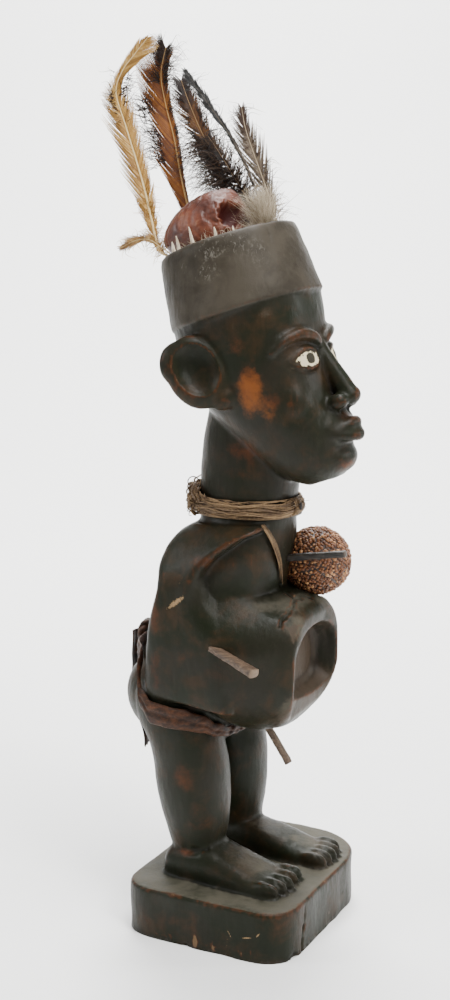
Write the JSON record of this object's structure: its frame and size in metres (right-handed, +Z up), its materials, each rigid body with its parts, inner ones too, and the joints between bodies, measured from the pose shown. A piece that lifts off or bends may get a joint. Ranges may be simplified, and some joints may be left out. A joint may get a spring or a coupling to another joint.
{
  "type": "nail fetish figure",
  "caption": "Standing carved wooden power figure on a block base, with a hollow belly pack, a seed pod at the chest, cord and belt bindings, and a cap that holds feathers.",
  "frame": {"origin": "centre of the base's underside, on the floor", "axes": "+Z up, the figure faces -Y, and its right side is at -X"},
  "size_m": [0.163, 0.2003, 0.6512],
  "materials": {
    "dark_wood": "dark oiled and smoked patina, worn reddish on the high places",
    "cane": "dry, pale brown",
    "seeds": "small glossy seeds set close in resin",
    "raffia": "dry plant fibre",
    "wire": "dark oxidised wire",
    "leather": "dark, rubbed, rolled",
    "skin": "stiff dried skin, slightly glossy",
    "bone": "tooth and shell, stained at the root",
    "down": "pale down",
    "ochre_vane": "ochre feather",
    "chestnut_vane": "chestnut feather",
    "dark_vane": "black-brown feather",
    "grey_vane": "grey-brown feather"
  },
  "bodies": {
    "root": {"carved_figure": "dark_wood", "chest_pod": "seeds", "chest_peg": "dark_wood", "side_peg": "cane", "lower_peg": "cane", "neck_cord": "raffia", "neck_cord_strand": "raffia", "neck_wire_ring": "wire", "waist_belt": "leather", "belt_knot": "leather", "belt_end": "leather", "cap_dome": "skin", "cap_tuft": "down", "feather_ochre": "ochre_vane", "feather_chestnut": "chestnut_vane", "feather_brown": "chestnut_vane", "feather_black": "dark_vane", "feather_grey": "grey_vane", "feather_low": "ochre_vane", "feather_down": "dark_vane", "cap_tooth_1": "bone", "cap_tooth_2": "bone", "cap_tooth_3": "bone", "cap_tooth_4": "bone", "cap_tooth_5": "bone"}
  },
  "joints": []
}
